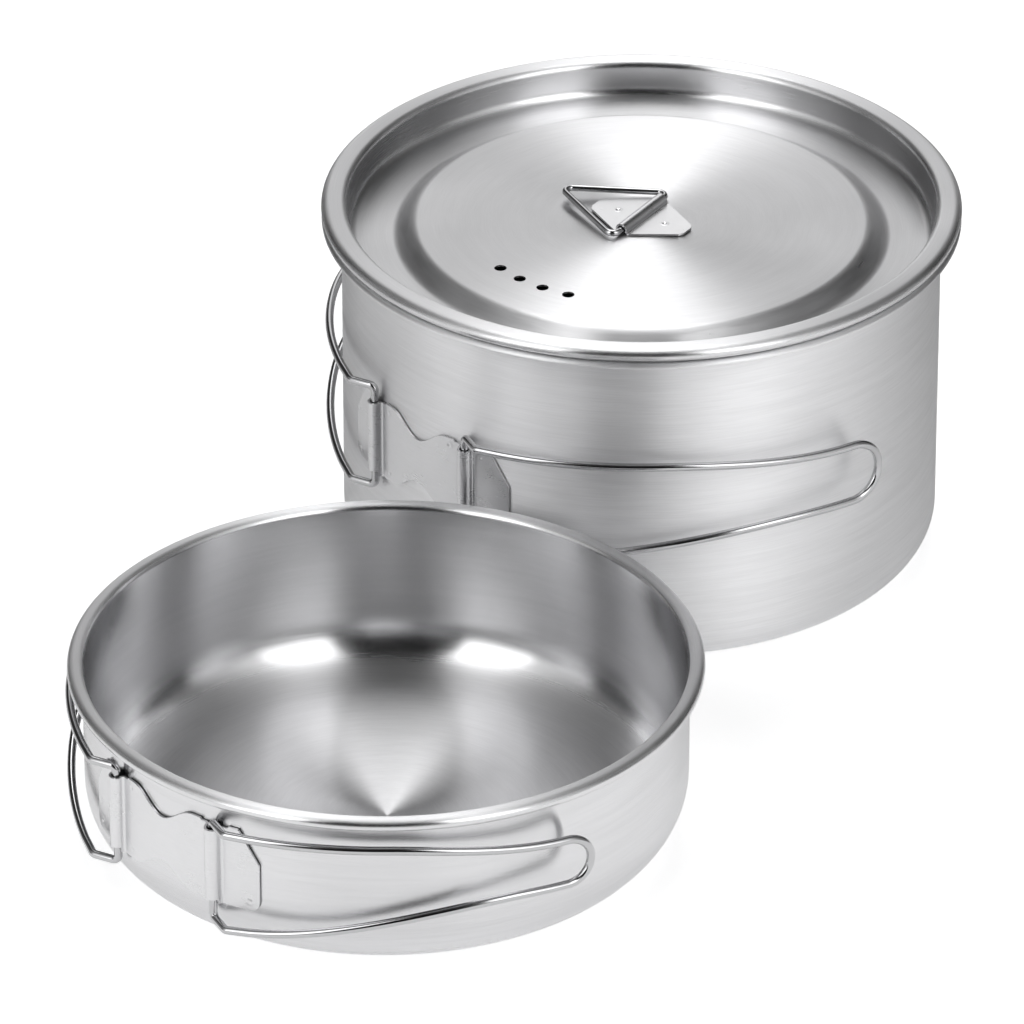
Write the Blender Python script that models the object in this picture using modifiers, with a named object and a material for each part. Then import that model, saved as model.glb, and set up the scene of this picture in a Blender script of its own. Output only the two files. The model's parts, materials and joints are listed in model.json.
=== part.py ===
"""Camping cook pot set in stainless steel: a deep pot with a recessed lid, and a shallow pan beside it.

Each vessel has one stamped bracket whose two channels trap the pins of two folding wire handles.
The lid has a small triangular wire ring in a strap bracket, and four steam vents.

The origin is the centre of the pot's flat base. +Z is up and -Y is the front, where the bracket is.
Left and right are as seen from the front. Everything is in metres.
"""

import math

import bmesh
import bpy
from mathutils import Matrix, Vector

MM = 0.001
SHEET = 0.6 * MM          # thickness of the pressed vessels and the lid
GAP = 0.3 * MM            # air left between neighbouring pieces
TURN_STEPS = 56           # facets round each turned piece

# The pot and the pan: outer radius of the wall, base corner, rim roll and place.
POT = {
    "name": "pot",
    "centre": Vector((0.0, 0.0, 0.0)),
    "turn": 0.0,
    "radius": 90.4 * MM,
    "corner": 10.5 * MM,
    "rim_radius": 96.4 * MM,
    "rim_half_width": 2.2 * MM,
    "rim_half_height": 1.1 * MM,
    "height": 106.8 * MM,
    "bracket_z": 55.0 * MM,
    "handle_length": 136.0 * MM,
    "handle_top": 16.0 * MM,
    "handle_end_top": 12.6 * MM,
    "handle_end_bottom": -6.2 * MM,
}
PAN = {
    "name": "pan",
    "centre": Vector((78.5 * MM, -174.0 * MM, 0.0)),
    "turn": math.radians(2.0),
    "radius": 87.8 * MM,
    "corner": 18.0 * MM,
    "rim_radius": 92.2 * MM,
    "rim_half_width": 2.2 * MM,
    "rim_half_height": 1.9 * MM,
    "height": 54.7 * MM,
    "bracket_z": 31.2 * MM,
    "handle_length": 116.0 * MM,
    "handle_top": 13.8 * MM,
    "handle_end_top": 9.9 * MM,
    "handle_end_bottom": -4.8 * MM,
}

# The handle bracket: a strip with two channels, measured along the wall from its middle.
PLATE = 0.7 * MM
CHANNEL_PLACE = 19.8 * MM     # from the middle of the bracket to a channel's axis
CHANNEL_RADIUS = 1.95 * MM    # middle of the sheet
CHANNEL_FOOT = 1.2 * MM       # fillet where a channel meets the plate
WING = 14.5 * MM              # from a channel's axis to the outer edge
WING_SHOULDER = 8.0 * MM      # where the slanted outer edge starts
WING_SLANT = 10.5 * MM        # how far the slanted edge drops
WING_CORNER = 3.0 * MM
PLATE_HALF_HEIGHT = 12.9 * MM
CHANNEL_TOP_CUT = 1.0 * MM
CHANNEL_BOTTOM_CUT = 1.7 * MM
MIDDLE_DIP = 5.7 * MM         # the scoop in the plate's top and bottom edges
MIDDLE_DIP_HALF_WIDTH = 12.0 * MM

# The folding handles: one wire each, with its two ends in a channel.
WIRE_RADIUS = 1.25 * MM
PIN_STANDOFF = PLATE / 2 + GAP + 1.3 * MM    # wall to the pin's axis
PIN_END = 1.5 * MM                           # the two wire ends stop this far from the middle
HANDLE_BOTTOM = -18.0 * MM
HANDLE_BEND = 1.9 * MM
HANDLE_START = 7.0 * MM                      # along the wall, where the jog out of the channel ends
STANDOFF_START = 6.5 * MM
STANDOFF_MIDDLE = 3.3 * MM
STANDOFF_END = 8.0 * MM
LEFT_HANDLE_LIFT = 1.0 * MM                  # the handles have play up and down in their channels

# The lid: a dish whose roll rests on the pot's rim.
LID_RIM_RADIUS = 96.5 * MM
LID_RIM_HALF_WIDTH = 2.55 * MM
LID_RIM_HALF_HEIGHT = 2.0 * MM
LID_RIM_Z = POT["height"] + GAP + LID_RIM_HALF_HEIGHT
LID_WALL_RADIUS = 88.7 * MM                  # inner side of the recess
LID_FLOOR_Z = LID_RIM_Z - 9.4 * MM
LID_FLOOR_CORNER = 3.5 * MM
LID_STEP_RADIUS = 74.5 * MM
LID_PLATEAU_RADIUS = 68.0 * MM
LID_PLATEAU_Z = LID_RIM_Z - 5.3 * MM
VENT_COUNT = 4
VENT_RADIUS = 1.85 * MM
VENT_CIRCLE = 52.5 * MM
VENT_MIDDLE = math.radians(-82.0)
VENT_SPACING = math.radians(9.6)

# The lid's ring and its bracket: the channel runs along RING_AXIS through the lid's centre.
RING_AXIS = math.radians(105.3)
RING_WIRE_RADIUS = 1.0 * MM
RING_SIDE = 33.4 * MM
RING_CORNER = 2.3 * MM
RING_PIN_Z = LID_PLATEAU_Z + 1.6 * MM
RING_TILT = math.radians(2.2)                # the ring rests with its tip a little raised
STRAP = 0.6 * MM
STRAP_HALF_LENGTH = 11.6 * MM
STRAP_CHANNEL = 1.65 * MM                    # middle of the sheet
STRAP_TIP = 16.3 * MM
STRAP_TIP_HALF_WIDTH = 3.0 * MM

STEELS = {
    "brushed_steel": ((0.62, 0.62, 0.63, 1.0), 0.32),
    "polished_wire": ((0.70, 0.70, 0.71, 1.0), 0.16),
}


def steel(name):
    """The named stainless steel, made once."""
    found = bpy.data.materials.get(name)
    if found:
        return found
    colour, roughness = STEELS[name]
    material = bpy.data.materials.new(name)
    material.use_nodes = True
    shader = material.node_tree.nodes["Principled BSDF"]
    shader.inputs["Base Color"].default_value = colour
    shader.inputs["Metallic"].default_value = 1.0
    shader.inputs["Roughness"].default_value = roughness
    return material


def add_object(name, data, finish, parent=None, place=Vector()):
    """Links a new object that has one of the steels."""
    data.materials.append(steel(finish))
    made = bpy.data.objects.new(name, data)
    made.location = place
    made.parent = parent
    bpy.context.collection.objects.link(made)
    return made


def add_empty(name, place, turn=0.0):
    made = bpy.data.objects.new(name, None)
    made.location = place
    made.rotation_euler.z = turn
    bpy.context.collection.objects.link(made)
    return made


def arc(centre, radii, start, end, steps):
    """Points on an elliptic arc, with both ends, in degrees from +X."""
    points = []
    for i in range(steps + 1):
        angle = math.radians(start + (end - start) * i / steps)
        points.append((centre[0] + radii[0] * math.cos(angle), centre[1] + radii[1] * math.sin(angle)))
    return points


def turned(name, profile, parent, place=Vector()):
    """A solid of revolution about Z. The profile's points are (radius, height)."""
    mesh = bpy.data.meshes.new(name)
    edges = [(i, i + 1) for i in range(len(profile) - 1)]
    mesh.from_pydata([(x, 0.0, z) for x, z in profile], edges, [])
    made = add_object(name, mesh, "brushed_steel", parent, place)
    screw = made.modifiers.new("Turn", "SCREW")
    screw.axis = "Z"
    screw.angle = 2 * math.pi
    screw.steps = screw.render_steps = TURN_STEPS
    screw.use_merge_vertices = True
    screw.merge_threshold = 1e-6
    return made


def rim_roll(inner, outer, rim_radius, half_width, half_height, top):
    """From the inner side of a wall up, over the rolled rim and back to the wall's outer side."""
    middle = top - half_height
    centre = rim_radius - half_width
    foot = 0.4 * half_height
    return [
        *arc((inner + half_height, middle), (half_height, half_height), 180, 90, 3),
        *arc((centre, middle), (half_width, half_height), 90, -90, 8),
        (outer + foot, middle - half_height),
        (outer, middle - half_height - foot),
    ]


def make_vessel(vessel, parent):
    """The pressed body of the pot or of the pan."""
    outer = vessel["radius"]
    corner = vessel["corner"]
    centre = (outer - corner, corner)
    profile = [(0.0, SHEET)]
    profile += arc(centre, (corner - SHEET,) * 2, -90, 0, 6)
    profile += rim_roll(
        outer - SHEET,
        outer,
        vessel["rim_radius"],
        vessel["rim_half_width"],
        vessel["rim_half_height"],
        vessel["height"],
    )
    profile += arc(centre, (corner,) * 2, 0, -90, 6)
    profile += [(0.0, 0.0)]
    return turned(vessel["name"] + "_body", profile, parent)


def strip_solid(name, columns, thickness, parent, place=Vector()):
    """A bent sheet. Each column is the pair of points where the sheet's two edges are."""
    mesh = bpy.data.meshes.new(name)
    points = [point for column in columns for point in column]
    faces = [(2 * i, 2 * i + 1, 2 * i + 3, 2 * i + 2) for i in range(len(columns) - 1)]
    mesh.from_pydata(points, [], faces)
    made = add_object(name, mesh, "brushed_steel", parent, place)
    solid = made.modifiers.new("Sheet", "SOLIDIFY")
    solid.thickness = thickness
    solid.offset = 0.0
    solid.use_even_offset = True
    return made


def channel_section(radius, foot, rise):
    """Across a channel: (sideways, height) from one foot, over the half-round top, to the other."""
    top = arc((0.0, rise), (radius, radius), 180, 0, 8)
    left_foot = arc((-radius - foot, foot), (foot, foot), -90, 0, 3)
    right_foot = [(-x, z) for x, z in reversed(left_foot)]
    return left_foot + top + right_foot


def plate_edges(along):
    """The top and bottom of the handle bracket's plate, from its middle height, at this place."""
    side = abs(along)
    past_channel = side - CHANNEL_PLACE
    half = PLATE_HALF_HEIGHT
    top, bottom = half, -half
    if side < MIDDLE_DIP_HALF_WIDTH:
        dip = MIDDLE_DIP * 0.5 * (1 + math.cos(math.pi * side / MIDDLE_DIP_HALF_WIDTH))
        top -= dip
        bottom += dip
    if abs(past_channel) <= CHANNEL_RADIUS:
        top -= CHANNEL_TOP_CUT
        bottom += CHANNEL_BOTTOM_CUT
    if past_channel > WING_SHOULDER:
        top -= WING_SLANT * (past_channel - WING_SHOULDER) / (WING - WING_SHOULDER)
    into_corner = past_channel - (WING - WING_CORNER)
    if into_corner > 0:
        bottom += WING_CORNER - math.sqrt(max(WING_CORNER**2 - into_corner**2, 0.0))
    return top, bottom


def make_bracket(vessel, parent):
    """The stamped plate with its two channels, bent round the wall."""
    base = vessel["radius"] + GAP + PLATE / 2
    rise = PIN_STANDOFF - GAP - PLATE / 2
    channel = channel_section(CHANNEL_RADIUS, CHANNEL_FOOT, rise)
    reach = CHANNEL_RADIUS + CHANNEL_FOOT
    wing = [CHANNEL_PLACE + x * MM for x in (14.5, 13.8, 12.8, 11.5, 9.5, 8.0, 5.5)]
    half_panel = CHANNEL_PLACE - reach
    panel = [half_panel * (i / 7) for i in range(-6, 7)]
    section = [(-x, 0.0) for x in wing]
    section += [(x - CHANNEL_PLACE, z) for x, z in channel]
    section += [(x, 0.0) for x in panel]
    section += [(x + CHANNEL_PLACE, z) for x, z in channel]
    section += [(x, 0.0) for x in reversed(wing)]
    columns = []
    for along, height in section:
        angle = along / base - math.pi / 2
        radius = base + height
        across = Vector((radius * math.cos(angle), radius * math.sin(angle), vessel["bracket_z"]))
        top, bottom = plate_edges(along)
        columns.append((across + Vector((0, 0, top)), across + Vector((0, 0, bottom))))
    return strip_solid(vessel["name"] + "_bracket", columns, PLATE, parent)


def smooth(share):
    """0 to 1 with level ends."""
    share = min(max(share, 0.0), 1.0)
    return share * share * (3 - 2 * share)


def rounded(before, corner, after, radius, steps=4):
    """The points that replace a sharp corner by an arc of this radius."""
    back = (before - corner).normalized()
    ahead = (after - corner).normalized()
    half = back.angle(ahead) / 2
    cut = radius / math.tan(half)
    start = corner + back * cut
    centre = corner + (back + ahead).normalized() * (radius / math.sin(half))
    spoke = start - centre
    axis = back.cross(ahead)
    turn = Matrix.Rotation((math.pi - 2 * half) / steps, 3, -axis)
    points = [start]
    for _ in range(steps):
        spoke = turn @ spoke
        points.append(centre + spoke)
    return points


def handle_route(vessel):
    """The handle's wire as (along the wall, standoff, height above the bracket's middle)."""
    length = vessel["handle_length"]
    end_top = vessel["handle_end_top"]
    end_bottom = vessel["handle_end_bottom"]
    half_end = (end_top - end_bottom) / 2
    straight = length - half_end
    sag = STANDOFF_START - STANDOFF_MIDDLE
    bow = STANDOFF_END - STANDOFF_START

    def standoff(along):
        share = (along - HANDLE_START) / (length - HANDLE_START)
        return STANDOFF_START + bow * share * share - 4 * sag * share * (1 - share)

    def side(along, top):
        if top:
            drop = smooth((along - 0.5 * straight) / (0.5 * straight))
            height = vessel["handle_top"] + (end_top - vessel["handle_top"]) * drop
        else:
            height = HANDLE_BOTTOM + (end_bottom - HANDLE_BOTTOM) * smooth(along / (0.9 * straight))
        return Vector((along, standoff(along), height))

    def half(top):
        """From the pin's end to the start of the rounded tip."""
        sign = 1 if top else -1
        start = side(HANDLE_START, top)
        end = Vector((0.0, PIN_STANDOFF, sign * PIN_END))
        bend = Vector((0.0, PIN_STANDOFF, start.z))
        runs = [side(HANDLE_START + (straight - HANDLE_START) * i / 9, top) for i in range(1, 10)]
        return [
            end,
            *rounded(end, bend, start, HANDLE_BEND),
            *rounded(bend, start, runs[0], HANDLE_BEND, 3),
            *runs,
        ]

    middle = (end_top + end_bottom) / 2
    tip = arc((straight, middle), (half_end, half_end), 90, -90, 10)[1:-1]
    tip = [Vector((x, standoff(x), z)) for x, z in tip]
    return [*half(True), *tip, *reversed(half(False))]


def wire(name, points, radius, parent, place):
    """A bent wire along these points, with flat ends."""
    data = bpy.data.curves.new(name, "CURVE")
    data.dimensions = "3D"
    data.bevel_depth = radius
    data.bevel_resolution = 2
    data.use_fill_caps = True
    spline = data.splines.new("POLY")
    spline.points.add(len(points) - 1)
    for target, point in zip(spline.points, points):
        target.co = (*point, 1.0)
    return add_object(name, data, "polished_wire", parent, place)


def make_handle(vessel, parent, side, lift):
    """A folded handle. side is -1 for the left one and 1 for the right one."""
    pin_angle = side * CHANNEL_PLACE / (vessel["radius"] + GAP + PLATE / 2) - math.pi / 2
    pin_radius = vessel["radius"] + PIN_STANDOFF
    pin = Vector((pin_radius * math.cos(pin_angle), pin_radius * math.sin(pin_angle), 0.0))
    pin.z = vessel["bracket_z"]
    points = []
    for along, standoff, height in handle_route(vessel):
        angle = pin_angle + side * along / (vessel["radius"] + STANDOFF_START)
        radius = vessel["radius"] + standoff
        point = Vector((radius * math.cos(angle), radius * math.sin(angle), vessel["bracket_z"]))
        points.append(point + Vector((0, 0, height + lift)) - pin)
    name = vessel["name"] + ("_handle_left" if side < 0 else "_handle_right")
    return wire(name, points, WIRE_RADIUS, parent, pin)


def make_lid(parent):
    """The lid's dish with its raised middle and its steam vents."""
    corner = LID_FLOOR_CORNER
    centre = (LID_WALL_RADIUS - corner, LID_FLOOR_Z + corner)
    under = corner + SHEET
    edge = 1.2 * MM
    step = [(LID_PLATEAU_RADIUS, LID_PLATEAU_Z), (LID_STEP_RADIUS, LID_FLOOR_Z)]
    profile = [(0.0, LID_PLATEAU_Z), (step[0][0] - edge, step[0][1]), step[0], step[1]]
    profile += [(step[1][0] + edge, step[1][1]), *arc(centre, (corner, corner), -90, 0, 4)]
    profile += rim_roll(
        LID_WALL_RADIUS,
        LID_WALL_RADIUS + SHEET,
        LID_RIM_RADIUS,
        LID_RIM_HALF_WIDTH,
        LID_RIM_HALF_HEIGHT,
        LID_RIM_Z + LID_RIM_HALF_HEIGHT,
    )[:-2]
    profile += [(LID_WALL_RADIUS + SHEET, LID_RIM_Z - LID_RIM_HALF_HEIGHT)]
    profile += arc(centre, (under, under), 0, -90, 4)
    profile += [(step[1][0], step[1][1] - SHEET), (step[0][0], step[0][1] - SHEET)]
    profile += [(0.0, LID_PLATEAU_Z - SHEET)]
    lid = turned("lid_dish", profile, parent)

    shape = bmesh.new()
    for i in range(VENT_COUNT):
        angle = VENT_MIDDLE + VENT_SPACING * (i - (VENT_COUNT - 1) / 2)
        place = (VENT_CIRCLE * math.cos(angle), VENT_CIRCLE * math.sin(angle), LID_PLATEAU_Z)
        bmesh.ops.create_cone(
            shape,
            cap_ends=True,
            segments=16,
            radius1=VENT_RADIUS,
            radius2=VENT_RADIUS,
            depth=10 * SHEET,
            matrix=Matrix.Translation(place),
        )
    mesh = bpy.data.meshes.new("vent_cutters")
    shape.to_mesh(mesh)
    shape.free()
    cutters = add_object("vent_cutters", mesh, "brushed_steel")
    cutters.hide_render = True
    cutters.display_type = "WIRE"
    cut = lid.modifiers.new("Vents", "BOOLEAN")
    cut.operation = "DIFFERENCE"
    cut.solver = "EXACT"
    cut.object = cutters
    return lid


def make_ring_bracket(parent):
    """The strap over the ring's pin: a channel with a tapering wing on each side."""
    level = GAP + STRAP / 2
    foot = 0.8 * MM
    rise = RING_PIN_Z - LID_PLATEAU_Z - level
    reach = STRAP_CHANNEL + foot
    wing = [STRAP_TIP - x * MM for x in (0.0, 0.35, 1.2, 7.0)]
    section = [(-x, 0.0) for x in wing]
    section += channel_section(STRAP_CHANNEL, foot, rise)
    section += [(x, 0.0) for x in reversed(wing)]
    columns = []
    for across, height in section:
        out = abs(across)
        taper = (out - reach) / (STRAP_TIP - reach)
        half = STRAP_HALF_LENGTH
        if taper > 0:
            half -= (STRAP_HALF_LENGTH - STRAP_TIP_HALF_WIDTH) * taper
        tip_cut = max(1.2 * MM - (STRAP_TIP - out), 0.0)
        half -= tip_cut * tip_cut / (1.2 * MM)
        z = LID_PLATEAU_Z + level + height
        columns.append((Vector((half, -across, z)), Vector((-half, -across, z))))
    return strip_solid("lid_ring_bracket", columns, STRAP, parent)


def make_ring(parent):
    """The triangular ring. Its first side runs through the bracket along local X."""
    height = RING_SIDE * math.sqrt(3) / 2
    corners = [Vector((-RING_SIDE / 2, 0, 0)), Vector((0, height, 0)), Vector((RING_SIDE / 2, 0, 0))]
    tilt = Matrix.Rotation(RING_TILT, 3, "X")
    points = [Vector((-0.4 * MM, 0, 0))]
    for i, corner in enumerate(corners):
        points += rounded(corners[i - 1], corner, corners[(i + 1) % 3], RING_CORNER, 6)
    points.append(Vector((0.4 * MM, 0, 0)))
    place = Vector((0, 0, RING_PIN_Z))
    return wire("lid_ring", [tilt @ point for point in points], RING_WIRE_RADIUS, parent, place)


def main():
    for old in list(bpy.data.objects):
        bpy.data.objects.remove(old, do_unlink=True)
    for vessel in (POT, PAN):
        stand = add_empty(vessel["name"] + "_place", vessel["centre"], vessel["turn"])
        make_vessel(vessel, stand)
        make_bracket(vessel, stand)
        make_handle(vessel, stand, -1, LEFT_HANDLE_LIFT)
        make_handle(vessel, stand, 1, 0.0)
    lid_place = add_empty("lid_place", POT["centre"])
    make_lid(lid_place)
    ring_place = add_empty("ring_place", POT["centre"], RING_AXIS)
    make_ring_bracket(ring_place)
    make_ring(ring_place)


main()
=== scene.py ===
"""Looks of the stainless steel camping cook pot set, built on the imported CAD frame.

Every CAD node is replaced by a finer piece of the same size in the same place: turned vessels and lid,
stamped brackets with spot welds, and bent wire handles. Only the handle brackets differ in outline, by a
shallow notch beside each channel. The steels are procedural.
Left and right are as seen from the front (-Y). Everything is in metres.
"""

import json
import math

import bpy
from mathutils import Matrix, Vector


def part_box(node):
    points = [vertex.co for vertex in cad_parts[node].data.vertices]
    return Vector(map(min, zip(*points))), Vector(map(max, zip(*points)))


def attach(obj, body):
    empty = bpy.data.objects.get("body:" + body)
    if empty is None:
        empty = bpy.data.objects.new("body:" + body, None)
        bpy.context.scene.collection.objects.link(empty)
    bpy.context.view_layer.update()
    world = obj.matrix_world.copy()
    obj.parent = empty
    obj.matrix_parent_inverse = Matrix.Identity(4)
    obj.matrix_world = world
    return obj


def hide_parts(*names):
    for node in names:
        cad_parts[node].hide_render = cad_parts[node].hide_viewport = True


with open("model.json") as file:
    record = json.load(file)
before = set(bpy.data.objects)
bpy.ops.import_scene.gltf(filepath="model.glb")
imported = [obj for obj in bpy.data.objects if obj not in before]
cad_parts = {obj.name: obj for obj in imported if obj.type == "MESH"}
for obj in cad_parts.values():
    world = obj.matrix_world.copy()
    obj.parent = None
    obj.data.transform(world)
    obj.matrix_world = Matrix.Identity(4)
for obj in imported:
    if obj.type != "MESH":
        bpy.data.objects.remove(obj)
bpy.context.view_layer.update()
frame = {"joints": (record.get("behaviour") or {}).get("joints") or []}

MM = 0.001
SHEET = 0.6 * MM
GAP = 0.3 * MM

# How finely the round and the long stretches of the turned pieces are divided.
TURN_STEPS = 288
FLOOR_STEPS = 12
UNDERSIDE_STEPS = 6
CORNER_STEPS = 16
WALL_STEPS = 8
ROLL_INNER_STEPS = 10
ROLL_STEPS = 30
LID_MIDDLE_STEPS = 14
LID_SLOPE_STEPS = 20
LID_FLOOR_STEPS = 4
LID_CORNER_STEPS = 12

JOINT_PLACE = {joint["name"]: Vector(joint.get("pos_m", (0, 0, 0))) for joint in frame["joints"]}


def middle_of(node):
    """The point on the floor under the middle of a node's box."""
    low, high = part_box(node)
    return Vector(((low.x + high.x) / 2, (low.y + high.y) / 2, 0.0))


def top_of(node):
    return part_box(node)[1].z


# ---------------------------------------------------------------- sizes, as in the CAD

POT = {
    "name": "pot",
    "centre": middle_of("pot_body"),
    "turn": 0.0,
    "radius": 90.4 * MM,
    "corner": 10.5 * MM,
    "rim_radius": 96.4 * MM,
    "rim_half_width": 2.2 * MM,
    "rim_half_height": 1.1 * MM,
    "height": top_of("pot_body"),
    "handle_length": 136.0 * MM,
    "handle_top": 16.0 * MM,
    "handle_end_top": 12.6 * MM,
    "handle_end_bottom": -6.2 * MM,
}
PAN = {
    "name": "pan",
    "centre": middle_of("pan_body"),
    "turn": math.radians(2.0),
    "radius": 87.8 * MM,
    "corner": 18.0 * MM,
    "rim_radius": 92.2 * MM,
    "rim_half_width": 2.2 * MM,
    "rim_half_height": 1.9 * MM,
    "height": top_of("pan_body"),
    "handle_length": 116.0 * MM,
    "handle_top": 13.8 * MM,
    "handle_end_top": 9.9 * MM,
    "handle_end_bottom": -4.8 * MM,
}
for vessel in (POT, PAN):
    vessel["bracket_z"] = JOINT_PLACE[vessel["name"] + "_handle_left_swing"].z

PLATE = 0.7 * MM
CHANNEL_PLACE = 19.8 * MM
CHANNEL_RADIUS = 1.95 * MM
CHANNEL_FOOT = 1.2 * MM
WING = 14.5 * MM
WING_SHOULDER = 8.0 * MM
WING_SLANT = 10.5 * MM
WING_CORNER = 3.0 * MM
PLATE_HALF_HEIGHT = 12.9 * MM
CHANNEL_TOP_CUT = 1.0 * MM
CHANNEL_BOTTOM_CUT = 1.7 * MM
CHANNEL_STEPS = 8
HANDLE_NOTCH = 0.6 * MM   # room for the wire's bend beside a channel when the handle is out
HANDLE_NOTCH_REACH = 4.5 * MM
MIDDLE_DIP = 5.7 * MM
MIDDLE_DIP_HALF_WIDTH = 12.0 * MM
PLATE_GRAIN = 0.32 * MM   # size of the mesh that the spot welds are pressed into
WELD_REACH = 2.0 * MM     # the relief of a spot weld ends here
WELD_RING = 0.95 * MM
WELD_RING_WIDTH = 0.25 * MM
WELD_RING_HEIGHT = 0.10 * MM
WELD_PIT_WIDTH = 0.55 * MM
WELD_PIT_DEPTH = 0.20 * MM
EDGE_ROUNDING = 0.13 * MM
ROUNDED_EDGE = math.radians(50)

WIRE_RADIUS = 1.25 * MM
PIN_STANDOFF = PLATE / 2 + GAP + 1.3 * MM
PIN_END = 1.5 * MM
HANDLE_BOTTOM = -18.0 * MM
HANDLE_BEND = 1.9 * MM
HANDLE_START = 7.0 * MM
STANDOFF_START = 6.5 * MM
STANDOFF_MIDDLE = 3.3 * MM
STANDOFF_END = 8.0 * MM
TOP_DROP_START = 0.5      # shares of the straight part, from the pins
BOTTOM_RISE_END = 0.9
LEFT_HANDLE_LIFT = 1.0 * MM
HANDLE_STEPS = 40
HANDLE_BEND_REACH = 3     # the steps that the bend beside a pin takes up
HANDLE_PIN_STEPS = 12
HANDLE_EASE_STEPS = 8
HANDLE_TIP_STEPS = 36
WIRE_ROUNDNESS = 6        # Blender's bevel resolution

LID_RIM_RADIUS = 96.5 * MM
LID_RIM_HALF_WIDTH = 2.55 * MM
LID_RIM_HALF_HEIGHT = 2.0 * MM
LID_RIM_Z = top_of("lid_dish") - LID_RIM_HALF_HEIGHT
LID_WALL_RADIUS = 88.7 * MM
LID_FLOOR_Z = LID_RIM_Z - 9.4 * MM
LID_FLOOR_CORNER = 3.5 * MM
LID_STEP_RADIUS = 74.5 * MM
LID_PLATEAU_RADIUS = 68.0 * MM
LID_PLATEAU_Z = LID_RIM_Z - 5.3 * MM
LID_SLOPE_SPREAD = 1.25   # how much wider the slope between the two is with its soft ends
VENT_COUNT = 4
VENT_RADIUS = 1.85 * MM
VENT_CIRCLE = 52.5 * MM
VENT_MIDDLE = math.radians(-82.0)
VENT_SPACING = math.radians(9.6)
VENT_SIDES = 40
SHARP_EDGE = math.radians(40)

RING_AXIS = math.radians(105.3)
RING_WIRE_RADIUS = 1.0 * MM
RING_SIDE = 33.4 * MM
RING_CORNER = 2.3 * MM
RING_CORNER_STEPS = 14
RING_PIN = JOINT_PLACE["lid_ring_fold"]
RING_TILT = math.radians(2.2)
RING_HALF_GAP = 0.4 * MM  # half the gap between the wire's two ends, inside the strap
STRAP = 0.6 * MM
STRAP_HALF_LENGTH = 11.6 * MM
STRAP_CHANNEL = 1.65 * MM
STRAP_FOOT = 0.8 * MM
STRAP_TIP = 16.3 * MM
STRAP_TIP_HALF_WIDTH = 3.0 * MM
STRAP_TIP_ROUNDING = 1.2 * MM
STRAP_GRAIN = 0.25 * MM
STRAP_STEPS = 80
STRAP_WELD = 8.2 * MM     # from the pin's axis to the spot weld on each wing

# Spot welds of a handle bracket, on one half: (along from the middle, height from the middle).
BRACKET_WELDS = (
    (13.3 * MM, 10.6 * MM),
    (13.3 * MM, -10.2 * MM),
    (24.9 * MM, 10.2 * MM),
    (31.2 * MM, -9.8 * MM),
)


# ---------------------------------------------------------------- nodes

class Nodes:
    """Shader nodes written as expressions. Each call adds one node and returns its output."""

    def __init__(self, tree):
        self.tree = tree

    def add(self, kind, **settings):
        node = self.tree.nodes.new(kind)
        for key, value in settings.items():
            setattr(node, key, value)
        return node

    def put(self, socket, value):
        """Links an output to the socket, or sets a constant on it."""
        if isinstance(value, bpy.types.NodeSocket):
            self.tree.links.new(value, socket)
        else:
            socket.default_value = value

    def math(self, operation, *values):
        node = self.add("ShaderNodeMath", operation=operation)
        for socket, value in zip(node.inputs, values):
            self.put(socket, value)
        return node.outputs[0]

    def vector(self, operation, *values):
        node = self.add("ShaderNodeVectorMath", operation=operation)
        for socket, value in zip(node.inputs, values):
            self.put(socket, value)
        return node.outputs["Value" if operation == "DOT_PRODUCT" else "Vector"]

    def combine(self, x, y, z):
        node = self.add("ShaderNodeCombineXYZ")
        for socket, value in zip(node.inputs, (x, y, z)):
            self.put(socket, value)
        return node.outputs[0]

    def noise(self, place, scale, detail=2.0, roughness=0.5):
        node = self.add("ShaderNodeTexNoise")
        self.put(node.inputs["Vector"], place)
        self.put(node.inputs["Scale"], scale)
        self.put(node.inputs["Detail"], detail)
        self.put(node.inputs["Roughness"], roughness)
        return node.outputs["Fac"]

    def fade(self, value, start, end, low=0.0, high=1.0):
        """Goes smoothly from low to high as value goes from start to end."""
        node = self.add("ShaderNodeMapRange", interpolation_type="SMOOTHSTEP")
        for name, setting in (("From Min", start), ("From Max", end), ("To Min", low), ("To Max", high)):
            node.inputs[name].default_value = setting
        self.put(node.inputs["Value"], value)
        return node.outputs[0]

    def scale_range(self, value, low, high):
        """A 0 to 1 value spread over low to high."""
        return self.math("ADD", self.math("MULTIPLY", value, high - low), low)

    def mix(self, factor, low, high):
        """Low where the factor is 0, high where it is 1."""
        return self.math("ADD", self.math("MULTIPLY", factor, self.math("SUBTRACT", high, low)), low)


def new_material(name):
    material = bpy.data.materials.new(name)
    material.use_nodes = True
    nodes = Nodes(material.node_tree)
    shader = material.node_tree.nodes["Principled BSDF"]
    shader.inputs["Metallic"].default_value = 1.0
    return material, nodes, shader


def set_tone(nodes, shader, colour, shade):
    """The base colour, made lighter or darker by the shade."""
    tone = nodes.vector("SCALE", colour)
    nodes.put(tone.node.inputs["Scale"], shade)
    nodes.put(shader.inputs["Base Color"], tone)


def set_bump(nodes, shader, height, strength, distance):
    """Fine relief, as a change of the normal only."""
    bump = nodes.add("ShaderNodeBump")
    bump.inputs["Strength"].default_value = strength
    bump.inputs["Distance"].default_value = distance
    nodes.put(bump.inputs["Height"], height)
    nodes.put(shader.inputs["Normal"], bump.outputs[0])


SMEAR_TURN = 0.25         # a quarter turn, so that highlights smear across the brush lines
LEVEL_FADE = (0.5, 0.98)  # from a wall's roughness to a floor's, by the height of the face's normal
TONE_SPREAD = 0.07
FINE_TURNS = 7.0          # how often the fine lines change on their way round, and the broad ones
BROAD_TURNS = 2.5
BROAD_WIDTH = 9           # in fine lines
FINE_SHARE = 0.6
BROAD_SHARE = 0.4

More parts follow.
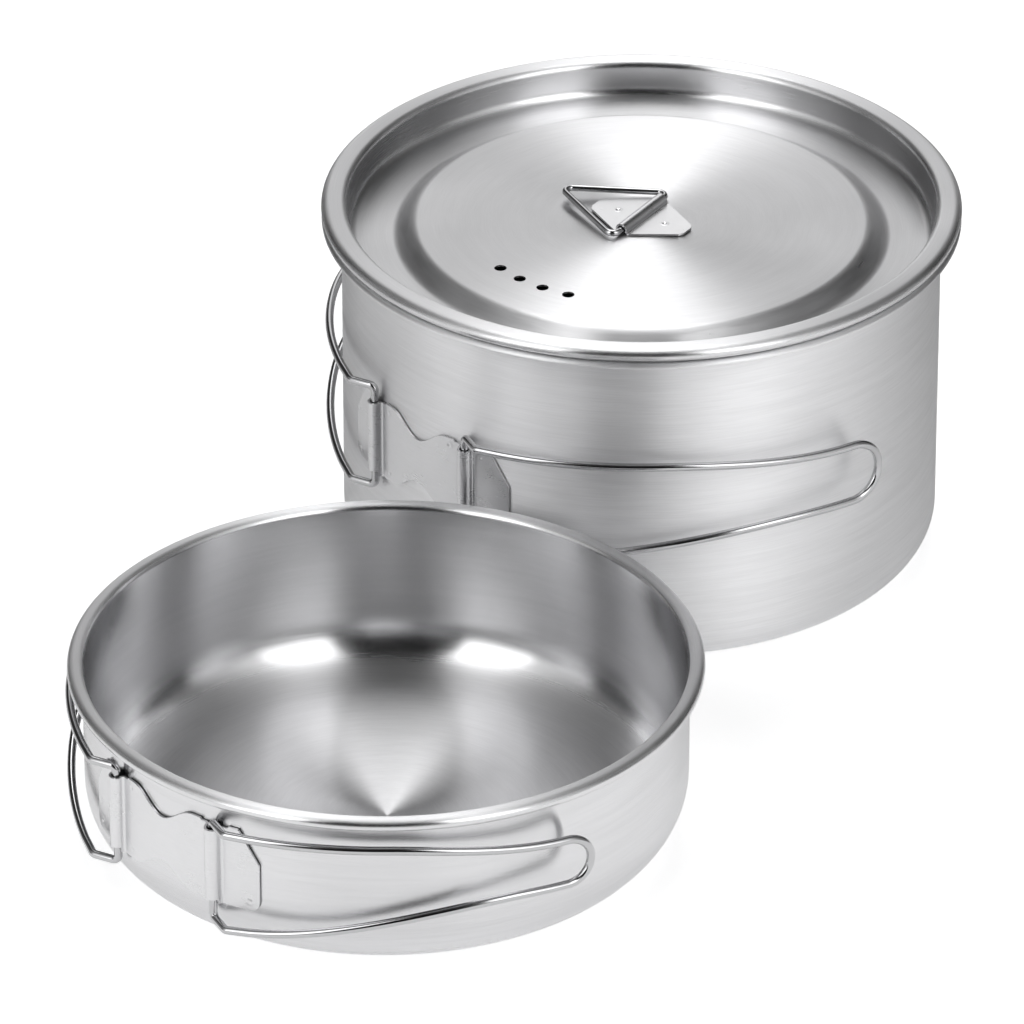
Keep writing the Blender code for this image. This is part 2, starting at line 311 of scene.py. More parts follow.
# Noise per metre: the clouds in each steel, the strokes of the brackets and the marks on the wire.
TURNED_CLOUD = 22.0
SHEET_CLOUD = 130.0
WIRE_CLOUD = 60.0
SHEET_STROKES = (300.0, 300.0, 5000.0)
WIRE_MARKS = 420.0


def turned_steel(name, colour, roughness, floor_roughness, anisotropy, lines):
    """Steel brushed round the Z axis of its object, with fine lines of uneven depth and length."""
    material, nodes, shader = new_material(name)
    source = nodes.add("ShaderNodeTexCoord")
    place = source.outputs["Object"]
    level = nodes.vector("DOT_PRODUCT", source.outputs["Normal"], (0.0, 0.0, 1.0))
    level = nodes.math("ABSOLUTE", level)
    split = nodes.add("ShaderNodeSeparateXYZ")
    nodes.put(split.inputs[0], place)
    x, y, z = split.outputs
    flat = nodes.combine(x, y, 0.0)
    radius = nodes.add("ShaderNodeVectorMath", operation="LENGTH")
    nodes.put(radius.inputs[0], flat)
    spoke = nodes.vector("NORMALIZE", flat)
    across = nodes.math("ADD", radius.outputs["Value"], z)

    def strokes(fineness, turns, detail):
        """Noise that is fine across the brush lines and long round the axis."""
        parts = nodes.add("ShaderNodeSeparateXYZ")
        nodes.put(parts.inputs[0], spoke)
        where = nodes.combine(
            nodes.math("MULTIPLY", across, fineness),
            nodes.math("MULTIPLY", parts.outputs[0], turns),
            nodes.math("MULTIPLY", parts.outputs[1], turns),
        )
        return nodes.noise(where, 1.0, detail)

    fine = strokes(lines, FINE_TURNS, 2.0)
    broad = strokes(lines / BROAD_WIDTH, BROAD_TURNS, 3.0)
    cloud = nodes.noise(place, TURNED_CLOUD, 2.0)
    fine_part = nodes.math("MULTIPLY", fine, FINE_SHARE)
    broad_part = nodes.math("MULTIPLY", broad, BROAD_SHARE)
    line_mix = nodes.math("ADD", fine_part, broad_part)

    shade = nodes.scale_range(nodes.fade(line_mix, 0.25, 0.75), 1 - TONE_SPREAD, 1 + TONE_SPREAD / 2)
    set_tone(nodes, shader, colour, shade)
    uneven = nodes.math("ADD", nodes.scale_range(fine, -0.06, 0.06), nodes.scale_range(cloud, -0.05, 0.05))
    brushing = nodes.fade(level, *LEVEL_FADE, roughness, floor_roughness)
    nodes.put(shader.inputs["Roughness"], nodes.math("ADD", uneven, brushing))
    shader.inputs["Anisotropic"].default_value = anisotropy
    shader.inputs["Anisotropic Rotation"].default_value = SMEAR_TURN
    tangent = nodes.add("ShaderNodeTangent", direction_type="RADIAL", axis="Z")
    nodes.put(shader.inputs["Tangent"], tangent.outputs[0])
    set_bump(nodes, shader, line_mix, strength=0.2, distance=0.012 * MM)
    return material


def sheet_steel(name, colour, roughness):
    """Satin steel of the stamped brackets: short level strokes and faint blotches."""
    material, nodes, shader = new_material(name)
    place = nodes.add("ShaderNodeTexCoord").outputs["Object"]
    stretched = nodes.vector("MULTIPLY", place, SHEET_STROKES)
    strokes = nodes.noise(stretched, 1.0, 2.0)
    cloud = nodes.noise(place, SHEET_CLOUD, 3.0)
    shade = nodes.math("ADD", nodes.scale_range(strokes, 0.93, 1.03), nodes.scale_range(cloud, -0.04, 0.04))
    set_tone(nodes, shader, colour, shade)
    stroke_part = nodes.scale_range(strokes, -0.05, 0.05)
    cloud_part = nodes.scale_range(cloud, -0.07, 0.07)
    uneven = nodes.math("ADD", stroke_part, cloud_part)
    nodes.put(shader.inputs["Roughness"], nodes.math("ADD", uneven, roughness))
    set_bump(nodes, shader, strokes, strength=0.3, distance=0.01 * MM)
    return material


def wire_steel(name, colour, roughness):
    """Bright drawn wire with faint handling marks."""
    material, nodes, shader = new_material(name)
    place = nodes.add("ShaderNodeTexCoord").outputs["Object"]
    marks = nodes.noise(place, WIRE_MARKS, 3.0)
    cloud = nodes.noise(place, WIRE_CLOUD, 2.0)
    set_tone(nodes, shader, colour, nodes.scale_range(cloud, 0.93, 1.03))
    uneven = nodes.math("ADD", nodes.scale_range(marks, -0.03, 0.05), nodes.scale_range(cloud, -0.03, 0.03))
    nodes.put(shader.inputs["Roughness"], nodes.math("ADD", uneven, roughness))
    set_bump(nodes, shader, marks, strength=0.15, distance=0.01 * MM)
    return material


# Turned steels: colour, roughness of walls and of level faces, anisotropy, brush lines per metre.
POT_STEEL = turned_steel("pot_steel", (0.90, 0.90, 0.91), 0.52, 0.40, 0.80, 5200.0)
PAN_STEEL = turned_steel("pan_steel", (0.70, 0.70, 0.71), 0.20, 0.40, 0.95, 5200.0)
LID_STEEL = turned_steel("lid_steel", (0.70, 0.70, 0.71), 0.25, 0.34, 0.93, 4200.0)
BRACKET_STEEL = sheet_steel("bracket_steel", (0.70, 0.70, 0.71), 0.30)
WIRE_STEEL = wire_steel("wire_steel", (0.52, 0.52, 0.53), 0.10)


# ---------------------------------------------------------------- shapes

def place_piece(piece, body, node):
    """Gives a finished piece to its body, in place of its CAD node."""
    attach(piece, body)
    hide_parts(node)


def add_mesh(name, points, faces, material, place=Vector(), turn=0.0):
    mesh = bpy.data.meshes.new(name)
    mesh.from_pydata(points, [], faces)
    mesh.materials.append(material)
    mesh.polygons.foreach_set("use_smooth", [True] * len(mesh.polygons))
    made = bpy.data.objects.new(name, mesh)
    made.location = place
    made.rotation_euler.z = turn
    bpy.context.collection.objects.link(made)
    return made


def arc(centre, radii, start, end, steps):
    """Points on an elliptic arc, with both ends, in degrees from +X."""
    points = []
    for i in range(steps + 1):
        angle = math.radians(start + (end - start) * i / steps)
        points.append((centre[0] + radii[0] * math.cos(angle), centre[1] + radii[1] * math.sin(angle)))
    return points


def line(start, end, steps):
    """Points between two places, without the ends."""
    return [
        (start[0] + (end[0] - start[0]) * i / steps, start[1] + (end[1] - start[1]) * i / steps)
        for i in range(1, steps)
    ]


def turned(name, profile, material, place=Vector()):
    """A solid of revolution about Z. The profile runs from the axis back to the axis."""
    rings = profile[1:-1]
    points = [(0.0, 0.0, profile[0][1])]
    for radius, height in rings:
        for i in range(TURN_STEPS):
            angle = 2 * math.pi * i / TURN_STEPS
            points.append((radius * math.cos(angle), radius * math.sin(angle), height))
    points.append((0.0, 0.0, profile[-1][1]))
    last = len(points) - 1
    faces = []
    for i in range(TURN_STEPS):
        j = (i + 1) % TURN_STEPS
        faces.append((0, 1 + i, 1 + j))
        for row in range(len(rings) - 1):
            low = 1 + row * TURN_STEPS
            high = low + TURN_STEPS
            faces.append((low + i, high + i, high + j, low + j))
        end = 1 + (len(rings) - 1) * TURN_STEPS
        faces.append((end + j, end + i, last))
    return add_mesh(name, points, faces, material, place)


def rim_roll(inner, outer, rim_radius, half_width, half_height, top):
    """From a wall's inner side over the rolled rim, round its underside and back to the wall.

    The last four points are the narrow hollow between the roll and the wall.
    """
    middle = top - half_height
    centre = rim_radius - half_width
    return [
        *arc((inner + half_height, middle), (half_height, half_height), 180, 90, ROLL_INNER_STEPS),
        *arc((centre, middle), (half_width, half_height), 90, -120, ROLL_STEPS),
        (outer + 0.75 * MM, middle - 0.45 * half_height),
        (outer + 0.35 * MM, middle - 0.5 * half_height),
        (outer + 0.08 * MM, middle - 0.75 * half_height),
        (outer, middle - 1.3 * half_height),
    ]


def make_vessel(vessel, material):
    """The pressed body of the pot or of the pan."""
    outer = vessel["radius"]
    corner = vessel["corner"]
    centre = (outer - corner, corner)
    flat = outer - corner
    roll = rim_roll(
        outer - SHEET,
        outer,
        vessel["rim_radius"],
        vessel["rim_half_width"],
        vessel["rim_half_height"],
        vessel["height"],
    )
    inside = [(0.0, SHEET), *line((0.0, SHEET), (flat, SHEET), FLOOR_STEPS)]
    inside += arc(centre, (corner - SHEET, corner - SHEET), -90, 0, CORNER_STEPS)
    inside += line((outer - SHEET, corner), roll[0], WALL_STEPS)
    outside = line(roll[-1], (outer, corner), WALL_STEPS)
    outside += arc(centre, (corner, corner), 0, -90, CORNER_STEPS)
    outside += [*line((flat, 0.0), (0.0, 0.0), UNDERSIDE_STEPS), (0.0, 0.0)]
    name = vessel["name"] + "_shell"
    shell = turned(name, inside + roll + outside, material, vessel["centre"])
    place_piece(shell, vessel["name"], vessel["name"] + "_body")


def weld_height(distance):
    """How far the sheet stands out at this distance from the middle of a spot weld."""
    ring = WELD_RING_HEIGHT * math.exp(-(((distance - WELD_RING) / WELD_RING_WIDTH) ** 2))
    pit = WELD_PIT_DEPTH * math.exp(-((distance / WELD_PIT_WIDTH) ** 2))
    return ring - pit


def pressed(along, height, welds):
    """The spot welds' relief at a point of a sheet."""
    total = 0.0
    for weld_along, weld_up in welds:
        distance = math.hypot(along - weld_along, height - weld_up)
        if distance < WELD_REACH:
            total += weld_height(distance)
    return total


def sheet_piece(name, rows, thickness, material, place=Vector(), turn=0.0):
    """A bent sheet with slightly rounded edges. Rows are lists of points of one length."""
    width = len(rows[0])
    points = [point for row in rows for point in row]
    faces = []
    for i in range(len(rows) - 1):
        for j in range(width - 1):
            k = i * width + j
            faces.append((k, k + 1, k + width + 1, k + width))
    made = add_mesh(name, points, faces, material, place, turn)
    solid = made.modifiers.new("Sheet", "SOLIDIFY")
    solid.thickness = thickness
    solid.offset = 0.0
    solid.use_even_offset = True
    bevel = made.modifiers.new("Edge", "BEVEL")
    bevel.width = EDGE_ROUNDING
    bevel.segments = 2
    bevel.limit_method = "ANGLE"
    bevel.angle_limit = ROUNDED_EDGE
    bevel.harden_normals = True
    return made


def channel_section(radius, foot, rise):
    """Across a channel: (sideways, height) from one foot, over the half-round top, to the other."""
    top = arc((0.0, rise), (radius, radius), 180, 0, 2 * CHANNEL_STEPS)
    left_foot = arc((-radius - foot, foot), (foot, foot), -90, 0, CHANNEL_STEPS)
    right_foot = [(-x, z) for x, z in reversed(left_foot)]
    return left_foot + top + right_foot


def plate_edges(along):
    """The top and bottom of the handle bracket's plate, from its middle height, at this place."""
    side = abs(along)
    past_channel = side - CHANNEL_PLACE
    half = PLATE_HALF_HEIGHT
    top, bottom = half, -half
    if side < MIDDLE_DIP_HALF_WIDTH:
        dip = MIDDLE_DIP * 0.5 * (1 + math.cos(math.pi * side / MIDDLE_DIP_HALF_WIDTH))
        top -= dip
        bottom += dip
    if abs(past_channel) <= CHANNEL_RADIUS:
        top -= CHANNEL_TOP_CUT
        bottom += CHANNEL_BOTTOM_CUT
    elif abs(past_channel) <= HANDLE_NOTCH_REACH:
        top -= HANDLE_NOTCH
    if past_channel > WING_SHOULDER:
        top -= WING_SLANT * (past_channel - WING_SHOULDER) / (WING - WING_SHOULDER)
    into_corner = past_channel - (WING - WING_CORNER)
    if into_corner > 0:
        bottom += WING_CORNER - math.sqrt(max(WING_CORNER**2 - into_corner**2, 0.0))
    return top, bottom


def evenly(start, end, step):
    """Numbers from start to end, both included, about a step apart."""
    count = max(1, math.ceil(abs(end - start) / step))
    return [start + (end - start) * i / count for i in range(count + 1)]


def make_bracket(vessel, material):
    """The stamped plate with its two channels, bent round the wall, with eight spot welds."""
    base = vessel["radius"] + GAP + PLATE / 2
    rise = PIN_STANDOFF - GAP - PLATE / 2
    channel = channel_section(CHANNEL_RADIUS, CHANNEL_FOOT, rise)
    reach = CHANNEL_RADIUS + CHANNEL_FOOT
    wing = [(x, 0.0) for x in evenly(CHANNEL_PLACE + WING, CHANNEL_PLACE + reach, PLATE_GRAIN)[:-1]]
    half_panel = CHANNEL_PLACE - reach
    panel = [(x, 0.0) for x in evenly(-half_panel, half_panel, PLATE_GRAIN)[1:-1]]
    section = [(-x, z) for x, z in wing]
    section += [(x - CHANNEL_PLACE, z) for x, z in channel]
    section += panel
    section += [(x + CHANNEL_PLACE, z) for x, z in channel]
    section += list(reversed(wing))
    welds = [(side * along, height) for side in (-1, 1) for along, height in BRACKET_WELDS]
    levels = math.ceil(2 * PLATE_HALF_HEIGHT / PLATE_GRAIN)
    rows = []
    for along, stand in section:
        angle = along / base - math.pi / 2 + vessel["turn"]
        top, bottom = plate_edges(along)
        row = []
        for i in range(levels + 1):
            height = top + (bottom - top) * i / levels
            radius = base + stand + pressed(along, height, welds)
            z = vessel["bracket_z"] + height
            row.append(Vector((radius * math.cos(angle), radius * math.sin(angle), z)))
        rows.append(row)
    name = vessel["name"] + "_bracket_plate"
    plate = sheet_piece(name, rows, PLATE, material, vessel["centre"])
    place_piece(plate, vessel["name"], vessel["name"] + "_bracket")


def smooth(share):
    """0 to 1 with level ends."""
    share = min(max(share, 0.0), 1.0)
    return share * share * (3 - 2 * share)


def rounded(before, corner, after, radius, steps):
    """The points that replace a sharp corner by an arc of this radius."""
    back = (before - corner).normalized()
    ahead = (after - corner).normalized()
    half = back.angle(ahead) / 2
    cut = radius / math.tan(half)
    start = corner + back * cut
    centre = corner + (back + ahead).normalized() * (radius / math.sin(half))
    spoke = start - centre
    axis = back.cross(ahead)
    turn = Matrix.Rotation((math.pi - 2 * half) / steps, 3, -axis)
    points = [start]
    for _ in range(steps):
        spoke = turn @ spoke
        points.append(centre + spoke)
    return points


def handle_route(vessel):
    """The handle's wire as (along the wall, standoff, height above the bracket's middle)."""
    length = vessel["handle_length"]
    end_top = vessel["handle_end_top"]
    end_bottom = vessel["handle_end_bottom"]
    half_end = (end_top - end_bottom) / 2
    straight = length - half_end
    sag = STANDOFF_START - STANDOFF_MIDDLE
    bow = STANDOFF_END - STANDOFF_START

    def standoff(along):
        share = (along - HANDLE_START) / (length - HANDLE_START)
        return STANDOFF_START + bow * share * share - 4 * sag * share * (1 - share)

    def side(along, top):
        if top:
            drop = smooth((along / straight - TOP_DROP_START) / (1 - TOP_DROP_START))
            height = vessel["handle_top"] + (end_top - vessel["handle_top"]) * drop
        else:
            rise = smooth(along / (BOTTOM_RISE_END * straight))
            height = HANDLE_BOTTOM + (end_bottom - HANDLE_BOTTOM) * rise
        return Vector((along, standoff(along), height))

    def half(top):
        """From the pin's end to the start of the rounded tip."""
        sign = 1 if top else -1
        start = side(HANDLE_START, top)
        end = Vector((0.0, PIN_STANDOFF, sign * PIN_END))
        bend = Vector((0.0, PIN_STANDOFF, start.z))
        step = (straight - HANDLE_START) / HANDLE_STEPS
        runs = [
            side(HANDLE_START + step * i, top)
            for i in range(HANDLE_BEND_REACH, HANDLE_STEPS + 1)
        ]
        return [
            end,
            *rounded(end, bend, start, HANDLE_BEND, HANDLE_PIN_STEPS),
            *rounded(bend, start, runs[1], HANDLE_BEND, HANDLE_EASE_STEPS),
            *runs,
        ]

    middle = (end_top + end_bottom) / 2
    tip = arc((straight, middle), (half_end, half_end), 90, -90, HANDLE_TIP_STEPS)[1:-1]
    tip = [Vector((x, standoff(x), z)) for x, z in tip]
    return [*half(True), *tip, *reversed(half(False))]


def wire(name, points, radius, material, place, turn=0.0):
    """A bent wire along these points, with flat ends."""
    data = bpy.data.curves.new(name, "CURVE")
    data.dimensions = "3D"
    data.bevel_depth = radius
    data.bevel_resolution = WIRE_ROUNDNESS
    data.use_fill_caps = True
    data.materials.append(material)
    spline = data.splines.new("POLY")
    spline.points.add(len(points) - 1)
    for target, point in zip(spline.points, points):
        target.co = (*point, 1.0)
    spline.use_smooth = True
    made = bpy.data.objects.new(name, data)
    made.location = place
    made.rotation_euler.z = turn
    bpy.context.collection.objects.link(made)
    return made


def make_handle(vessel, side_name, material):
    """A folded handle on its joint's axis."""
    side = -1 if side_name == "left" else 1
    lift = LEFT_HANDLE_LIFT if side < 0 else 0.0
    node = vessel["name"] + "_handle_" + side_name
    pin = JOINT_PLACE[node + "_swing"]
    spoke = pin - vessel["centre"]
    pin_angle = math.atan2(spoke.y, spoke.x)
    points = []
    for along, standoff, height in handle_route(vessel):
        angle = pin_angle + side * along / (vessel["radius"] + STANDOFF_START)
        radius = vessel["radius"] + standoff
        point = vessel["centre"] + Vector((radius * math.cos(angle), radius * math.sin(angle), pin.z))
        points.append(point + Vector((0, 0, height + lift)) - pin)
    made = wire(node + "_wire", points, WIRE_RADIUS, material, pin)
    place_piece(made, node, node)


def make_lid(material):
    """The lid's dish: rolled rim, recess, raised middle and four steam vents."""
    corner = LID_FLOOR_CORNER
    centre = (LID_WALL_RADIUS - corner, LID_FLOOR_Z + corner)
    under = corner + SHEET
    slope_middle = (LID_PLATEAU_RADIUS + LID_STEP_RADIUS) / 2
    slope_half_width = LID_SLOPE_SPREAD * (LID_STEP_RADIUS - LID_PLATEAU_RADIUS) / 2
    drop = LID_PLATEAU_Z - LID_FLOOR_Z

    def step_line(down):
        """The sloped step between the raised middle and the floor, with soft ends."""
        points = []
        for i in range(LID_SLOPE_STEPS + 1):
            share = i / LID_SLOPE_STEPS
            radius = slope_middle + slope_half_width * (2 * share - 1)
            points.append((radius, LID_PLATEAU_Z - drop * smooth(share) - down))
        return points

    top_step = step_line(0.0)
    profile = [(0.0, LID_PLATEAU_Z)]
    profile += line(profile[0], top_step[0], LID_MIDDLE_STEPS)
    profile += top_step
    profile += line(top_step[-1], (centre[0], LID_FLOOR_Z), LID_FLOOR_STEPS)
    profile += arc(centre, (corner, corner), -90, 0, LID_CORNER_STEPS)
    roll = rim_roll(
        LID_WALL_RADIUS,
        LID_WALL_RADIUS + SHEET,
        LID_RIM_RADIUS,
        LID_RIM_HALF_WIDTH,
        LID_RIM_HALF_HEIGHT,
        LID_RIM_Z + LID_RIM_HALF_HEIGHT,
    )
    profile += line(profile[-1], roll[0], LID_FLOOR_STEPS)
    profile += roll
    profile += arc(centre, (under, under), 0, -90, LID_CORNER_STEPS)
    bottom_step = step_line(SHEET)
    bottom = (0.0, LID_PLATEAU_Z - SHEET)
    profile += [*reversed(bottom_step), *line(bottom_step[0], bottom, UNDERSIDE_STEPS), bottom]
    lid = turned("lid_shell", profile, material)
    cut_vents(lid)
    place_piece(lid, "lid", "lid_dish")


def cut_vents(lid):
    """Cuts the steam vents, and leaves nothing of the cutters in the scene."""
    points = []
    faces = []
    for i in range(VENT_COUNT):
        angle = VENT_MIDDLE + VENT_SPACING * (i - (VENT_COUNT - 1) / 2)
        centre = Vector((VENT_CIRCLE * math.cos(angle), VENT_CIRCLE * math.sin(angle), 0.0))
        first = len(points)
        for height in (LID_PLATEAU_Z - 2 * MM, LID_PLATEAU_Z + 2 * MM):
            for x, y in arc((centre.x, centre.y), (VENT_RADIUS, VENT_RADIUS), 0, 360, VENT_SIDES)[:-1]:
                points.append((x, y, height))
        upper = first + VENT_SIDES
        faces.append([first + k for k in reversed(range(VENT_SIDES))])
        faces.append([upper + k for k in range(VENT_SIDES)])
        for k in range(VENT_SIDES):
            after = (k + 1) % VENT_SIDES
            faces.append((first + k, first + after, upper + after, upper + k))
    cutter = add_mesh("vent_cutter", points, faces, lid.data.materials[0])
    cut = lid.modifiers.new("Vents", "BOOLEAN")
    cut.operation = "DIFFERENCE"
    cut.solver = "EXACT"
    cut.object = cutter
    bpy.context.view_layer.update()
    graph = bpy.context.evaluated_depsgraph_get()
    pierced = bpy.data.meshes.new_from_object(lid.evaluated_get(graph))
    pierced.set_sharp_from_angle(angle=SHARP_EDGE)
    lid.modifiers.clear()
    lid.data = pierced
    bpy.data.objects.remove(cutter, do_unlink=True)


def make_ring_bracket(material):
    """The strap over the ring's pin: a channel with a tapering, welded wing on each side."""
    level = GAP + STRAP / 2
    rise = RING_PIN.z - LID_PLATEAU_Z - level
    reach = STRAP_CHANNEL + STRAP_FOOT
    wing = [(x, 0.0) for x in evenly(STRAP_TIP, reach, STRAP_GRAIN)[:-1]]
    section = [(-x, z) for x, z in wing]
    section += channel_section(STRAP_CHANNEL, STRAP_FOOT, rise)
    section += list(reversed(wing))
    welds = ((-STRAP_WELD, 0.0), (STRAP_WELD, 0.0))
    rows = []
    for across, height in section:
        out = abs(across)
        taper = (out - reach) / (STRAP_TIP - reach)
        half = STRAP_HALF_LENGTH
        if taper > 0:
            half -= (STRAP_HALF_LENGTH - STRAP_TIP_HALF_WIDTH) * taper
        tip_cut = max(STRAP_TIP_ROUNDING - (STRAP_TIP - out), 0.0)
        half -= tip_cut * tip_cut / STRAP_TIP_ROUNDING
        row = []
        for i in range(STRAP_STEPS + 1):
            along = half - 2 * half * i / STRAP_STEPS
            z = LID_PLATEAU_Z + level + height + pressed(across, along, welds)
            row.append(Vector((along, -across, z)))
        rows.append(row)
    strap = sheet_piece("lid_ring_strap", rows, STRAP, material, Vector(), RING_AXIS)
    place_piece(strap, "lid", "lid_ring_bracket")


def make_ring(material):
    """The triangular ring. The side where the wire's two ends meet runs through the strap."""
    height = RING_SIDE * math.sqrt(3) / 2
    corners = [Vector((-RING_SIDE / 2, 0, 0)), Vector((0, height, 0)), Vector((RING_SIDE / 2, 0, 0))]
    tilt = Matrix.Rotation(RING_TILT, 3, "X")
    points = [Vector((-RING_HALF_GAP, 0, 0))]
    for i, corner in enumerate(corners):
        points += rounded(corners[i - 1], corner, corners[(i + 1) % 3], RING_CORNER, RING_CORNER_STEPS)
    points.append(Vector((RING_HALF_GAP, 0, 0)))
    points = [tilt @ point for point in points]
    ring = wire("lid_ring_wire", points, RING_WIRE_RADIUS, material, RING_PIN, RING_AXIS)
    place_piece(ring, "lid_ring", "lid_ring")


# ---------------------------------------------------------------- studio

CAMERA_AZIMUTH = math.radians(47.53)
CAMERA_HEIGHT = math.radians(29.79)
CAMERA_DISTANCE = 3.065
CAMERA_LENS = 351.6       # mm on a 36 mm sensor
AIM_SIDE = -0.039
AIM_LEVEL = 0.0021

RIGHT = Vector((math.cos(CAMERA_AZIMUTH), math.sin(CAMERA_AZIMUTH), 0.0))
AWAY = Vector((-math.sin(CAMERA_AZIMUTH), math.cos(CAMERA_AZIMUTH), 0.0))


def make_camera():
    """A long lens at the photograph's angle."""
    aim = RIGHT * AIM_SIDE + Vector((0, 0, AIM_LEVEL))
    out = -AWAY * math.cos(CAMERA_HEIGHT) + Vector((0, 0, math.sin(CAMERA_HEIGHT)))
    data = bpy.data.cameras.new("camera")
    data.lens = CAMERA_LENS
    data.sensor_width = 36.0
    data.clip_end = 50.0
    camera = bpy.data.objects.new("camera", data)
    camera.location = aim + out * CAMERA_DISTANCE
    camera.rotation_euler = (-out).to_track_quat("-Z", "Y").to_euler()
    bpy.context.collection.objects.link(camera)
    bpy.context.scene.camera = camera


# Light from around the set, at mid height: (degrees from the tent's front, brightness).
BELT = (
    (0, 0.04),
    (20, 0.1),
    (45, 1.1),
    (58, 1.0),
    (75, 0.6),
    (90, 0.2),
    (108, 0.3),
    (128, 0.04),
    (150, 0.04),
    (180, 0.4),
)
LOW_LIGHT = 0.5           # below the horizon
HIGH_LIGHT = 0.15         # overhead
OPENING_LIGHT = 0.01      # the dark opening in front, where the camera stands
OPENING_HALF = math.radians(18)
OPENING_SOFT = 0.08
BOX_LIGHT = 2.5           # the two soft boxes beside the camera
BOX_MIDDLE = math.radians(40)
BOX_HALF = math.radians(14)
BOX_SOFT = 0.06
STRIP_SHIFT = 0.04        # the strip behind hangs a little to the left
STRIP_LOW = 1.15          # its brightness low down, and high up
STRIP_HIGH = 4.6

# Where each light begins and where it is full, as parts of the ray's unit vector.
BELT_RISE = (-0.02, 0.12)
OPENING_RISE = (0.0, 0.06)
BOX_RISE = (0.16, 0.30)
BOX_TOP = (0.95, 0.85)
OVERHEAD_RISE = (0.86, 0.95)
STRIP_SIDE = (0.26, 0.10)
STRIP_BACK = (0.16, 0.30)
STRIP_RISE = (0.0, 0.12)
STRIP_HIGH_RISE = (0.66, 0.86)

# The tent is turned a little from the camera.
TENT_AZIMUTH = CAMERA_AZIMUTH - math.radians(3.6)
TENT_FRONT = Vector((math.sin(TENT_AZIMUTH), -math.cos(TENT_AZIMUTH), 0.0))
TENT_SIDE = Vector((math.cos(TENT_AZIMUTH), math.sin(TENT_AZIMUTH), 0.0))


def make_world():
    """A tent of light: soft boxes beside the camera's dark opening, and a strip from behind to overhead."""
    world = bpy.data.worlds.new("tent")
    world.use_nodes = True
    bpy.context.scene.world = world
    nodes = Nodes(world.node_tree)
    ray = nodes.add("ShaderNodeTexCoord").outputs["Generated"]
    front = nodes.vector("DOT_PRODUCT", ray, TENT_FRONT)
    across = nodes.vector("DOT_PRODUCT", ray, TENT_SIDE)
    bearing = nodes.math("ABSOLUTE", nodes.math("ARCTAN2", across, front))
    up = nodes.vector("DOT_PRODUCT", ray, (0.0, 0.0, 1.0))

    ramp = nodes.add("ShaderNodeValToRGB")
    ramp.color_ramp.interpolation = "EASE"
    stops = ramp.color_ramp.elements
    ready = len(stops)
    for i, (degrees, brightness) in enumerate(BELT):
        stop = stops[i] if i < ready else stops.new(0.999)
        stop.position = degrees / 180
        stop.color = (brightness, brightness, brightness, 1.0)
    nodes.put(ramp.inputs[0], nodes.math("DIVIDE", bearing, math.pi))

    light = nodes.mix(nodes.fade(up, *BELT_RISE), LOW_LIGHT, ramp.outputs[0])
    opening = nodes.fade(bearing, OPENING_HALF + OPENING_SOFT, OPENING_HALF - OPENING_SOFT)
    opening = nodes.math("MULTIPLY", opening, nodes.fade(up, *OPENING_RISE))
    light = nodes.mix(opening, light, OPENING_LIGHT)
    mid_height = nodes.math("MULTIPLY", nodes.fade(up, *BOX_RISE), nodes.fade(up, *BOX_TOP))
    off_box = nodes.math("ABSOLUTE", nodes.math("SUBTRACT", bearing, BOX_MIDDLE))
    box = nodes.fade(off_box, BOX_HALF + BOX_SOFT, BOX_HALF - BOX_SOFT)
    light = nodes.mix(nodes.math("MULTIPLY", box, mid_height), light, BOX_LIGHT)
    light = nodes.mix(nodes.fade(up, *OVERHEAD_RISE), light, HIGH_LIGHT)

    off_strip = nodes.math("ADD", nodes.vector("DOT_PRODUCT", ray, RIGHT), STRIP_SHIFT)
    off_strip = nodes.math("ABSOLUTE", off_strip)
    behind = nodes.fade(nodes.vector("DOT_PRODUCT", ray, AWAY), *STRIP_BACK)
    strip = nodes.math("MULTIPLY", nodes.fade(off_strip, *STRIP_SIDE), behind)
    strip = nodes.math("MULTIPLY", strip, nodes.fade(up, *STRIP_RISE))
    light = nodes.mix(strip, light, nodes.fade(up, *STRIP_HIGH_RISE, STRIP_LOW, STRIP_HIGH))

    background = world.node_tree.nodes["Background"]
    nodes.put(background.inputs["Color"], nodes.combine(light, light, light))
    backdrop = nodes.add("ShaderNodeBackground")
    backdrop.inputs["Color"].default_value = (1.0, 1.0, 1.0, 1.0)
    chooser = nodes.add("ShaderNodeMixShader")
    nodes.put(chooser.inputs[0], nodes.add("ShaderNodeLightPath").outputs["Is Camera Ray"])
    nodes.put(chooser.inputs[1], background.outputs[0])
    nodes.put(chooser.inputs[2], backdrop.outputs[0])
    nodes.put(world.node_tree.nodes["World Output"].inputs["Surface"], chooser.outputs[0])


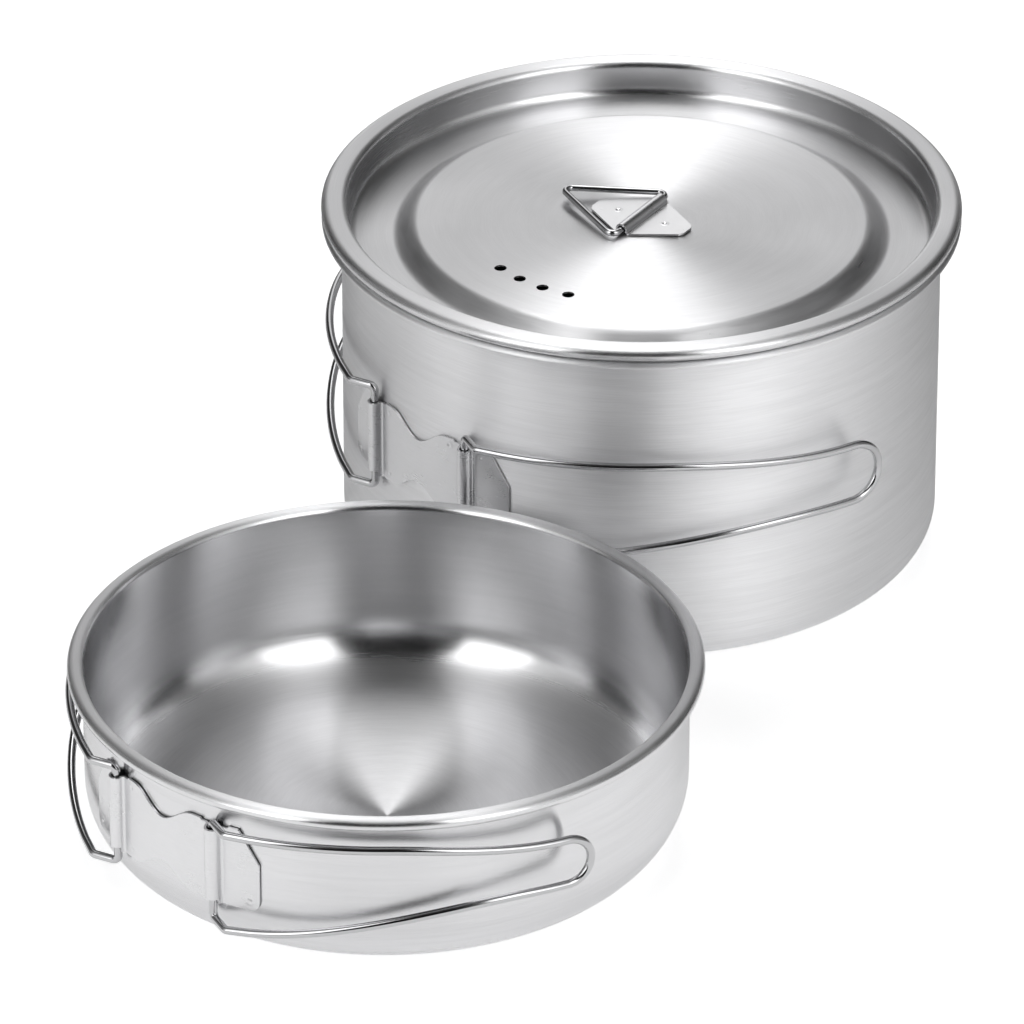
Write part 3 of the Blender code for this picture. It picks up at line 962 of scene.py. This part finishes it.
FLOOR_REACH = 12.0
FLOOR_TONE = 0.92
FLOOR_FAR_SHADE = 0.25     # painted shade: the floor's colour behind the set, darker as for an unlit room, seen only in the steel
FLOOR_LIFT = 0.55         # added to the floor only where the camera sees it
FLOOR_GLOW = 0.38         # light from a lit table top in front of the set, as the steel reflects it
GLOW_FADE = (-0.05, 0.25) # metres from the pot's middle towards the camera
FAR_FADE = (0.14, 0.34)   # metres from the pot's middle away from the camera


def make_floor():
    """A plain white floor, bright enough that only the contact shadows show.

    The steel sees it lit in front of the set and darker behind, by painted shade in its colour, as in a
    room.
    """
    signs = ((-1, -1), (1, -1), (1, 1), (-1, 1))
    corners = [(x * FLOOR_REACH, y * FLOOR_REACH, 0) for x, y in signs]
    material = bpy.data.materials.new("floor_white")
    material.use_nodes = True
    shader = material.node_tree.nodes["Principled BSDF"]
    shader.inputs["Roughness"].default_value = 1.0
    shader.inputs["Specular IOR Level"].default_value = 0.0
    shader.inputs["Emission Color"].default_value = (1.0, 1.0, 1.0, 1.0)
    nodes = Nodes(material.node_tree)
    camera_ray = nodes.add("ShaderNodeLightPath").outputs["Is Camera Ray"]
    place = nodes.add("ShaderNodeTexCoord").outputs["Object"]
    glow = nodes.fade(nodes.vector("DOT_PRODUCT", place, -AWAY), *GLOW_FADE, 0.0, FLOOR_GLOW)
    nodes.put(shader.inputs["Emission Strength"], nodes.mix(camera_ray, glow, FLOOR_LIFT))
    # Painted shade: rays other than the camera's see the floor's colour darker behind the set.
    behind = nodes.vector("DOT_PRODUCT", place, AWAY)
    reflected = nodes.fade(behind, *FAR_FADE, FLOOR_TONE, FLOOR_FAR_SHADE)
    tone = nodes.mix(camera_ray, reflected, FLOOR_TONE)
    nodes.put(shader.inputs["Base Color"], nodes.combine(tone, tone, tone))
    floor = add_mesh("floor", corners, [(0, 1, 2, 3)], material)


def main():
    for vessel, steel in ((POT, POT_STEEL), (PAN, PAN_STEEL)):
        make_vessel(vessel, steel)
        make_bracket(vessel, BRACKET_STEEL)
        make_handle(vessel, "left", WIRE_STEEL)
        make_handle(vessel, "right", WIRE_STEEL)
    make_lid(LID_STEEL)
    make_ring_bracket(BRACKET_STEEL)
    make_ring(WIRE_STEEL)
    make_camera()
    make_world()
    make_floor()
    bpy.context.scene.view_settings.view_transform = "Standard"


main()
